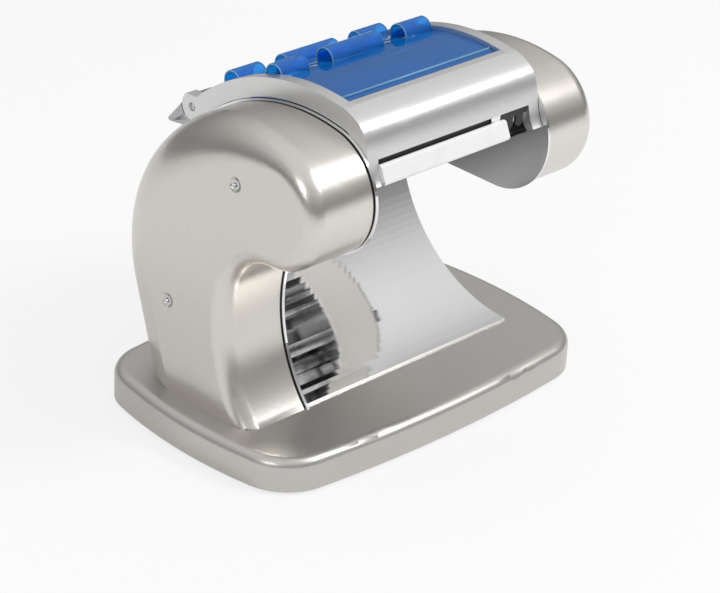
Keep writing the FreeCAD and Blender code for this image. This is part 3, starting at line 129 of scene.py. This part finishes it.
def satinPaint(name, colour, rough, metallic=0.82):
    finish = Finish(name, Metallic=metallic, Coat_Roughness=0.25, Coat_IOR=1.45)
    flake = finish.noise(paint["flake"], 1.0)
    cloud = finish.noise(14.0, 2.0)
    scuff = finish.between(finish.noise(paint["scuff"], 6.0, 0.7), 0.56, 0.74)
    tone = finish.mix(finish.between(flake, 0.3, 0.7), shade(colour, 0.9), shade(colour, 1.07))
    finish.set(Base_Color=finish.mix(cloud * 0.25, tone, shade(colour, 0.92)))
    finish.set(Roughness=rough + cloud * 0.05 - 0.025 + scuff * 0.06)
    finish.set(Coat_Weight=0.25 - scuff * 0.15)
    finish.bump(flake * 0.5 + finish.noise(paint["peel"], 1.0), 0.000012)
    return finish.material


def polishedSteel(name, colour, rough, lines=(40.0, 1400.0, 1400.0)):
    finish = Finish(name, Metallic=1.0)
    hair = finish.noise(1.0, 4.0, 0.6, finish.stretch(lines))
    smear = finish.noise(22.0, 3.0)
    finish.set(Base_Color=finish.mix(smear * 0.3, colour, shade(colour, 0.86)))
    dull = finish.between(hair, 0.5, 0.8, 0.0, 0.06)
    greasy = finish.between(smear, 0.5, 0.75, 0.0, 0.05)
    finish.set(Roughness=rough + dull + greasy)
    finish.bump(hair, 0.000004)
    return finish.material


def brushedSteel(name, colour, rough, lines=(12.0, 900.0, 900.0)):
    finish = Finish(name, Metallic=1.0)
    hair = finish.noise(1.0, 5.0, 0.65, finish.stretch(lines))
    stain = finish.between(finish.noise(35.0, 4.0), 0.5, 0.8)
    finish.set(Base_Color=finish.mix(hair * 0.5 + stain * 0.2, shade(colour, 1.04), shade(colour, 0.74)))
    finish.set(Roughness=rough + hair * 0.16 - 0.08 + stain * 0.08)
    finish.bump(hair, 0.00003)
    return finish.material


def machinedMetal(name, colour, rough):
    finish = Finish(name, Metallic=1.0)
    turning = finish.noise(1.0, 3.0, 0.6, finish.stretch((3000.0, 160.0, 160.0)))
    oil = finish.between(finish.noise(70.0, 4.0), 0.5, 0.72)
    finish.set(Base_Color=finish.mix(oil * 0.6, colour, shade(colour, 0.6)))
    finish.set(Roughness=rough + turning * 0.14 - 0.07 - oil * 0.08)
    finish.bump(turning, 0.00002)
    return finish.material


def mouldedPlastic(name, colour, rough, grain=1500.0, depth=0.00003):
    finish = Finish(name, IOR=1.48)
    skin = finish.noise(grain, 2.0)
    rub = finish.between(finish.noise(60.0, 5.0, 0.65), 0.52, 0.75)
    finish.set(Base_Color=finish.mix(rub * 0.35, colour, tuple(part * 0.8 + 0.04 for part in colour)))
    finish.set(Roughness=rough - rub * 0.12 + skin * 0.06)
    finish.bump(skin, depth)
    return finish.material


def softRubber(name, colour):
    finish = Finish(name, IOR=1.5, Specular_IOR_Level=0.35)
    dust = finish.between(finish.noise(180.0, 6.0, 0.7), 0.5, 0.8)
    finish.set(Base_Color=finish.mix(dust * 0.5, colour, (0.16, 0.155, 0.15)))
    finish.set(Roughness=0.72 + dust * 0.2)
    finish.bump(finish.noise(900.0, 3.0), 0.00005)
    return finish.material


def clearBlue(name, colour, clear=0.85):
    finish = Finish(name, IOR=1.45, Transmission_Weight=clear)
    swirl = finish.noise(30.0, 2.0)
    film = finish.between(finish.noise(140.0, 5.0, 0.7), 0.5, 0.8)
    finish.set(Base_Color=finish.mix(swirl * 0.4, colour, shade(colour, 0.85)))
    finish.set(Roughness=0.03 + film * 0.07)
    finish.bump(finish.noise(60.0, 2.0), 0.00004)
    return finish.material


def windings(name, colour):
    finish = Finish(name, IOR=1.55)
    turns = finish.node("ShaderNodeTexWave", {"bands_direction": "Y"}, {
        "Vector": finish.place, "Scale": 260.0, "Distortion": 0.6, "Detail": 2.0}, out=1)
    glaze = finish.noise(90.0, 4.0)
    finish.set(Base_Color=finish.mix(turns, shade(colour, 0.45), colour))
    finish.set(Roughness=0.3 + glaze * 0.25, Metallic=turns * 0.7)
    finish.bump(turns, 0.0003)
    return finish.material


def laminations(name, colour):
    finish = Finish(name, Metallic=1.0)
    sheets = finish.node("ShaderNodeTexWave", {"bands_direction": "X"}, {
        "Vector": finish.place, "Scale": 320.0, "Distortion": 0.2, "Detail": 1.0}, out=1)
    bloom = finish.noise(60.0, 5.0)
    finish.set(Base_Color=finish.mix(sheets * bloom, shade(colour, 0.55), colour))
    finish.set(Roughness=0.55 - sheets * 0.15)
    finish.bump(sheets, 0.0001)
    return finish.material


finishes = {
    "casing_paint": satinPaint("casingPaint", (0.74, 0.71, 0.665), 0.28, 0.94),
    "base_paint": satinPaint("basePaint", (0.62, 0.60, 0.57), 0.35, 0.92),
    "arm_paint": satinPaint("armPaint", (0.80, 0.80, 0.795), 0.33, 0.9),
    "bottom_steel": brushedSteel("bottomSteel", (0.55, 0.55, 0.55), 0.48),
    "zinc_screw": machinedMetal("zincScrew", (0.72, 0.72, 0.74), 0.3),
    "post_steel": machinedMetal("postSteel", (0.66, 0.66, 0.68), 0.3),
    "gear_steel": machinedMetal("gearSteel", (0.6, 0.6, 0.62), 0.34),
    "pinion_brass": machinedMetal("pinionBrass", (0.83, 0.62, 0.28), 0.28),
    "yoke_steel": brushedSteel("yokeSteel", (0.6, 0.6, 0.62), 0.4),
    # deck steel colour darkened to 0.5 as painted shade standing for the dark area under the hood
    "deck_steel": brushedSteel("deckSteelPaintedShade", (0.5, 0.5, 0.52), 0.3),
    "cutter_steel": machinedMetal("cutterSteel", (0.76, 0.76, 0.77), 0.24),
    "roller_aluminium": brushedSteel("rollerAluminium", (0.84, 0.84, 0.85), 0.27, (900.0, 30.0, 30.0)),
    "plate_chrome": polishedSteel("plateChrome", (0.86, 0.86, 0.865), 0.1, (900.0, 60.0, 60.0)),
    "slide_chrome": polishedSteel("slideChrome", (0.9, 0.9, 0.9), 0.05),
    "foot_rubber": softRubber("footRubber", (0.035, 0.035, 0.037)),
    "gasket_rubber": softRubber("gasketRubber", (0.02, 0.02, 0.021)),
    "black_plastic": mouldedPlastic("inletPlastic", (0.025, 0.025, 0.027), 0.42),
    "switch_black": mouldedPlastic("switchPlastic", (0.02, 0.02, 0.022), 0.3),
    "comb_plastic": mouldedPlastic("combPlastic", (0.02, 0.02, 0.022), 0.38),
    "knob_plastic": mouldedPlastic("knobPlastic", (0.045, 0.045, 0.05), 0.4),
    "bush_plastic": mouldedPlastic("bushPlastic", (0.86, 0.84, 0.78), 0.45),
    "cam_plastic": mouldedPlastic("camPlastic", (0.82, 0.8, 0.73), 0.42),
    "gear_plastic": mouldedPlastic("gearPlastic", (0.88, 0.86, 0.78), 0.4),
    # the bar's near-white glossy colour is a painted highlight standing for bright reflected light on the
    # deflector
    "bar_white": mouldedPlastic("barPaintedHighlight", (0.93, 0.93, 0.935), 0.16, 700.0, 0.00001),
    "hood_clear": clearBlue("hoodBlue", (0.015, 0.33, 0.93), 0.72),
    # lighter, less clear copy of the hood blue: painted highlight for the tunnel edges and the crest of the
    # hood
    "hood_rim": clearBlue("hoodRimHighlight", (0.36, 0.74, 1.0), 0.45),
    "dial_white": mouldedPlastic("dialWhite", (0.82, 0.82, 0.8), 0.5),
    "stack_steel": laminations("stackSteel", (0.45, 0.45, 0.47)),
    "coil_tape": windings("coilCopper", (0.72, 0.33, 0.1)),
}
slots = {part["node"]: part["material_slot"] for part in frame["record"]["subparts"]}
for node, thing in frame["nodes"].items():
    thing.data.materials.clear()
    thing.data.materials.append(finishes[slots[node]])
print("finishes on", len(slots), "nodes")


# Smooth skins over the CAD pieces that show

skins = (
    "base_shell", "left_casing", "right_cap", "guard_arm_left", "guard_arm_right", "front_beam",
    "deflector_bar", "guard_hood", "pasta_slide", "rubber_feet", "thickness_knob", "rear_deck",
    "rear_cover", "front_deck", "cover_screws", "left_side_plate", "right_side_plate", "tie_rods",
    "fixed_roller", "adjustable_roller", "switch_housing", "power_rocker", "guard_pivot_pins",
    "finger_strip",
)
skinShape = {
    "sharp": 30, "sharpOf": {"front_beam": 24, "guard_hood": 35, "power_rocker": 20},      # degrees
    "merge": 1e-6, "smallest": 1e-7, "flatTopped": ("base_shell",), "flat": 0.9999, "ring": 0.0006,
}


def bodyOf(node):
    for body, nodes in frame["record"]["behaviour"]["bodies"].items():
        if node in nodes:
            return body


def skin(node):
    mesh = frame["nodes"][node].data.copy()
    mesh.name = node + "Skin"
    work = bmesh.new()
    work.from_mesh(mesh)
    bmesh.ops.remove_doubles(work, verts=work.verts, dist=skinShape["merge"])
    bmesh.ops.dissolve_degenerate(work, dist=skinShape["smallest"], edges=work.edges)
    flatTopped = node in skinShape["flatTopped"]
    if flatTopped:          # a narrow ring keeps the flat top apart from the round rim
        flat = [face for face in work.faces if face.normal.z > skinShape["flat"]]
        bmesh.ops.inset_region(work, faces=flat, thickness=skinShape["ring"], use_even_offset=True)
    work.to_mesh(mesh)
    work.free()
    mesh.shade_smooth()
    degrees = skinShape["sharpOf"].get(node, skinShape["sharp"])
    mesh.set_sharp_from_angle(angle=math.radians(degrees))
    piece = bpy.data.objects.new(node + "Skin", mesh)
    bpy.context.scene.collection.objects.link(piece)
    if not flatTopped:      # keeps the flat faces flat beside their rounds
        even = piece.modifiers.new("even", "WEIGHTED_NORMAL")
        even.mode, even.weight, even.keep_sharp = "FACE_AREA", 50, True
    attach(piece, bodyOf(node))
    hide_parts(node)
    return piece


for node in skins:
    skin(node)
print("skins made", len(skins))


# Rims and ridge of the hood as thin tubes in a lighter blue, a painted highlight along the tunnel edges and
# the crest, and the dial on the right cap

hood = {
    "arcCentre": (-0.035, 0.08967), "radius": 0.157, "rows": (16.7, 32.3), "lift": 0.0014,
    "tunnelRadius": 0.0082, "ends": (-0.0675, -0.044, -0.023, 0.023, 0.044, 0.0675),
    "rimRadius": 0.00055, "rimDepth": 1.1, "rimOpen": 62.0, "rimSteps": 40,
    "ridgeAngle": -5.3, "ridgeSpan": (-0.0682, 0.0682), "ridgeLift": 0.0002, "ridgeRadius": 0.0008,
}


def addPiece(name, mesh, slotName, body):
    mesh.materials.clear()
    mesh.materials.append(finishes[slotName])
    piece = bpy.data.objects.new(name, mesh)
    bpy.context.scene.collection.objects.link(piece)
    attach(piece, body)
    return piece


def tubeAlong(points, radius, sides=10):
    work = bmesh.new()
    rings = []
    for index, point in enumerate(points):
        ahead = points[min(index + 1, len(points) - 1)] - points[max(index - 1, 0)]
        turn = ahead.to_track_quat("Z", "Y")
        ring = []
        for step in range(sides):
            angle = step * 2 * math.pi / sides
            around = Vector((radius * math.cos(angle), radius * math.sin(angle), 0))
            ring.append(work.verts.new(point + turn @ around))
        rings.append(ring)
    for first, second in zip(rings, rings[1:]):
        for step in range(sides):
            after = (step + 1) % sides
            work.faces.new((first[step], first[after], second[after], second[step]))
    work.faces.new(rings[0][::-1])
    work.faces.new(rings[-1])
    for face in work.faces:
        face.smooth = len(face.verts) == 4
    return work


def intoMesh(work, name):
    bmesh.ops.recalc_face_normals(work, faces=work.faces)
    mesh = bpy.data.meshes.new(name)
    work.to_mesh(mesh)
    work.free()
    return mesh


def joined(meshes, name):
    work = bmesh.new()
    for mesh in meshes:
        work.from_mesh(mesh)
    whole = bpy.data.meshes.new(name)
    work.to_mesh(whole)
    work.free()
    return whole


def onHood(radius, degrees, x):
    turn = math.radians(degrees)
    y, z = hood["arcCentre"]
    return Vector((x, y + radius * math.sin(turn), z + radius * math.cos(turn)))


def makeHoodRims():
    rims = []
    reach = hood["tunnelRadius"] - hood["rimRadius"] * hood["rimDepth"]
    closed = 180 - hood["rimOpen"]
    for degrees in hood["rows"]:
        for x in hood["ends"]:
            centre = onHood(hood["radius"] + hood["lift"], degrees, x)
            points = []
            for step in range(hood["rimSteps"] + 1):
                angle = math.radians(90 - degrees - closed + step * 2 * closed / hood["rimSteps"])
                points.append(centre + Vector((0, reach * math.cos(angle), reach * math.sin(angle))))
            rims.append(intoMesh(tubeAlong(points, hood["rimRadius"]), "rim"))
    onTop = hood["radius"] + hood["ridgeLift"]
    ridge = [onHood(onTop, hood["ridgeAngle"], x) for x in hood["ridgeSpan"]]
    rims.append(intoMesh(tubeAlong(ridge, hood["ridgeRadius"]), "ridge"))
    # the rims and ridge carry the lighter blue as painted highlights
    addPiece("hoodRims", joined(rims, "hoodRims"), "hood_rim", "guard")


dial = {
    "centre": (0.12805, 0.012, 0.188), "radius": 0.0255, "turn": 200.0, "numbers": 7,
    "tickLength": 0.0022, "tickWidth": 0.0006, "textSize": 0.0052, "textRadius": 0.0305, "height": 0.00018,
}


def tickTree():
    tree = bpy.data.node_groups.new("dialTicks", "GeometryNodeTree")
    face = tree.interface
    face.new_socket("Geometry", in_out="OUTPUT", socket_type="NodeSocketGeometry")
    sizes = {}
    for name, kind, value in (("Count", "NodeSocketInt", 13), ("Radius", "NodeSocketFloat", dial["radius"]),
                              ("Turn", "NodeSocketFloat", math.radians(dial["turn"])),
                              ("Length", "NodeSocketFloat", dial["tickLength"]),
                              ("Width", "NodeSocketFloat", dial["tickWidth"]),
                              ("Height", "NodeSocketFloat", dial["height"]),
                              ("Paint", "NodeSocketMaterial", finishes["dial_white"])):
        sizes[name] = face.new_socket(name, in_out="INPUT", socket_type=kind)
        sizes[name].default_value = value
    made = {}
    for name, kind in (
            ("sizes", "NodeGroupInput"), ("row", "GeometryNodeMeshLine"),
            ("index", "GeometryNodeInputIndex"), ("place", "ShaderNodeCombineXYZ"),
            ("move", "GeometryNodeSetPosition"), ("tick", "GeometryNodeMeshCube"),
            ("cube", "ShaderNodeCombineXYZ"), ("turned", "ShaderNodeCombineXYZ"),
            ("spin", "FunctionNodeEulerToRotation"), ("copies", "GeometryNodeInstanceOnPoints"),
            ("real", "GeometryNodeRealizeInstances"), ("paint", "GeometryNodeSetMaterial"),
            ("out", "NodeGroupOutput")):
        made[name] = tree.nodes.new(kind)
    for name, operation in (
            ("last", "SUBTRACT"), ("share", "DIVIDE"), ("angle", "MULTIPLY"), ("sine", "SINE"),
            ("cosine", "COSINE"), ("side", "MULTIPLY"), ("up", "MULTIPLY")):
        made[name] = tree.nodes.new("ShaderNodeMath")
        made[name].operation = operation
    made["last"].inputs[1].default_value = 1.0
    links = (
        ("sizes", "Count", "row", "Count"), ("sizes", "Count", "last", 0),
        ("index", 0, "share", 0), ("last", 0, "share", 1),
        ("share", 0, "angle", 0), ("sizes", "Turn", "angle", 1),
        ("angle", 0, "sine", 0), ("angle", 0, "cosine", 0),
        ("sine", 0, "side", 0), ("sizes", "Radius", "side", 1),
        ("cosine", 0, "up", 0), ("sizes", "Radius", "up", 1),
        ("side", 0, "place", "Y"), ("up", 0, "place", "Z"),
        ("row", 0, "move", "Geometry"), ("place", 0, "move", "Position"),
        ("sizes", "Height", "cube", "X"), ("sizes", "Width", "cube", "Y"),
        ("sizes", "Length", "cube", "Z"), ("cube", 0, "tick", "Size"),
        ("angle", 0, "turned", "X"), ("turned", 0, "spin", "Euler"),
        ("move", 0, "copies", "Points"), ("tick", 0, "copies", "Instance"),
        ("spin", 0, "copies", "Rotation"), ("copies", 0, "real", "Geometry"),
        ("real", 0, "paint", "Geometry"), ("sizes", "Paint", "paint", "Material"),
        ("paint", 0, "out", 0),
    )
    for start, output, end, socket in links:
        tree.links.new(made[start].outputs[output], made[end].inputs[socket])
    return tree, sizes


def makeDial():
    holder = bpy.data.objects.new("dialTicksSource", bpy.data.meshes.new("dialTicksSource"))
    bpy.context.scene.collection.objects.link(holder)
    tree, sizes = tickTree()
    ticks = holder.modifiers.new("ticks", "NODES")
    ticks.node_group = tree
    ticks[sizes["Count"].identifier] = 2 * dial["numbers"] - 1
    mesh = bpy.data.meshes.new_from_object(holder.evaluated_get(bpy.context.evaluated_depsgraph_get()))
    bpy.data.objects.remove(holder)
    whole = bmesh.new()
    whole.from_mesh(mesh)
    for vert in whole.verts:                      # the first tick faces the pointer, at the rear
        vert.co.y, vert.co.z = vert.co.z, vert.co.y
    bmesh.ops.recalc_face_normals(whole, faces=whole.faces)
    for number in range(dial["numbers"]):
        text = bpy.data.curves.new("digit", "FONT")
        text.body, text.size, text.extrude = str(number + 1), dial["textSize"], dial["height"] / 2
        text.align_x, text.align_y = "CENTER", "CENTER"
        letter = bpy.data.objects.new("digit", text)
        bpy.context.scene.collection.objects.link(letter)
        shape = bpy.data.meshes.new_from_object(letter.evaluated_get(bpy.context.evaluated_depsgraph_get()))
        angle = math.radians(dial["turn"]) * number / (dial["numbers"] - 1)
        shape.transform(Matrix(((0, 0, 1), (1, 0, 0), (0, 1, 0))).to_4x4())      # faces the right
        reach = dial["textRadius"]
        shape.transform(Matrix.Translation((0, reach * math.cos(angle), reach * math.sin(angle))))
        whole.from_mesh(shape)
        bpy.data.objects.remove(letter)
    bmesh.ops.translate(whole, verts=whole.verts, vec=Vector(dial["centre"]))
    done = bpy.data.meshes.new("dialMarks")
    whole.to_mesh(done)
    whole.free()
    addPiece("dialMarks", done, "dial_white", "frame")


makeHoodRims()
makeDial()
print("hood rims and dial made")


# Floor, light and camera

studio = {
    "floorSize": 6.0, "floorColour": (0.93, 0.93, 0.93),
    "floorSeen": 0.75, "floorMirrored": 0.12, "floorThrough": 0.5,      # shares of plain white
    "worldTop": 0.8, "worldSide": 0.05, "worldLow": -0.1, "worldHigh": 0.8,
    "keyPower": 16.0, "keyPlace": (0.9, -1.2, 1.6), "keySize": 0.6,
    "fillPower": 4.0, "fillPlace": (-1.7, -0.5, 1.0), "fillSize": 0.5,
    "aim": (0, 0, 0.12),
}
view = {
    "lens": 131.64, "azimuth": -45.6, "elevation": 27.67, "roll": 3.24,
    "target": (-0.04514, -0.055, 0.10191), "distance": 1.71527,
}


def makeFloor():
    half = studio["floorSize"] / 2
    corners = [(-half, -half, 0), (half, -half, 0), (half, half, 0), (-half, half, 0)]
    mesh = bpy.data.meshes.new("floor")
    mesh.from_pydata(corners, [], [(0, 1, 2, 3)])
    floor = bpy.data.objects.new("floor", mesh)
    bpy.context.scene.collection.objects.link(floor)
    finish = Finish("floorPaint", Base_Color=studio["floorColour"], Roughness=0.9)
    seen = finish.node("ShaderNodeLightPath", out="Is Camera Ray")
    mirrored = finish.node("ShaderNodeLightPath", out="Is Glossy Ray")
    through = finish.node("ShaderNodeLightPath", out="Is Transmission Ray")
    glow = finish.node("ShaderNodeEmission", inputs={"Color": (1.0, 1.0, 1.0), "Strength": 1.0})
    cover = finish.node("ShaderNodeMixShader", inputs={
        0: (seen * studio["floorSeen"] + mirrored * studio["floorMirrored"]
            + through * studio["floorThrough"]),
        1: Wire(finish, finish.shader.outputs[0]), 2: glow})
    finish.join(finish.tree.nodes["Material Output"].inputs["Surface"], cover)
    mesh.materials.append(finish.material)


def makeWorld():
    world = bpy.data.worlds.new("studio")
    bpy.context.scene.world = world
    world.use_nodes = True
    tree = world.node_tree
    back = tree.nodes["Background"]
    path = tree.nodes.new("ShaderNodeLightPath")
    place = tree.nodes.new("ShaderNodeTexCoord")
    split = tree.nodes.new("ShaderNodeSeparateXYZ")
    tone = tree.nodes.new("ShaderNodeMapRange")
    top = tree.nodes.new("ShaderNodeMath")
    top.operation = "MAXIMUM"
    for name, value in (("From Min", studio["worldLow"]), ("From Max", studio["worldHigh"]),
                        ("To Min", studio["worldSide"]), ("To Max", studio["worldTop"])):
        tone.inputs[name].default_value = value
    back.inputs["Color"].default_value = (1.0, 1.0, 1.0, 1.0)
    tree.links.new(place.outputs["Generated"], split.inputs[0])
    tree.links.new(split.outputs["Z"], tone.inputs["Value"])
    tree.links.new(tone.outputs[0], top.inputs[0])
    tree.links.new(path.outputs["Is Camera Ray"], top.inputs[1])
    tree.links.new(top.outputs[0], back.inputs["Strength"])


def makeLamp(name, power, place, size):
    lamp = bpy.data.lights.new(name, "AREA")
    lamp.energy, lamp.size = power, size
    thing = bpy.data.objects.new(name, lamp)
    thing.location = place
    thing.rotation_euler = (Vector(studio["aim"]) - Vector(place)).to_track_quat("-Z", "Y").to_euler()
    bpy.context.scene.collection.objects.link(thing)


def makeCamera():
    turn, lift, roll = (math.radians(view[key]) for key in ("azimuth", "elevation", "roll"))
    back = Vector((math.sin(turn) * math.cos(lift), -math.cos(turn) * math.cos(lift), math.sin(lift)))
    right = (-back).cross(Vector((0, 0, 1))).normalized()
    up = right.cross(-back)
    side = right * math.cos(roll) + up * math.sin(roll)
    above = up * math.cos(roll) - right * math.sin(roll)
    camera = bpy.data.cameras.new("photoView")
    camera.lens, camera.sensor_width, camera.sensor_fit = view["lens"], 36.0, "HORIZONTAL"
    camera.clip_end = 30.0
    thing = bpy.data.objects.new("photoView", camera)
    bpy.context.scene.collection.objects.link(thing)
    thing.matrix_world = Matrix.Translation(Vector(view["target"]) + back * view["distance"]) @ Matrix(
        (side, above, back)).transposed().to_4x4()
    bpy.context.scene.camera = thing


makeFloor()
makeWorld()
makeLamp("keyLamp", studio["keyPower"], studio["keyPlace"], studio["keySize"])
makeLamp("fillLamp", studio["fillPower"], studio["fillPlace"], studio["fillSize"])
makeCamera()
bpy.context.scene.view_settings.view_transform = "Standard"
print("studio ready")
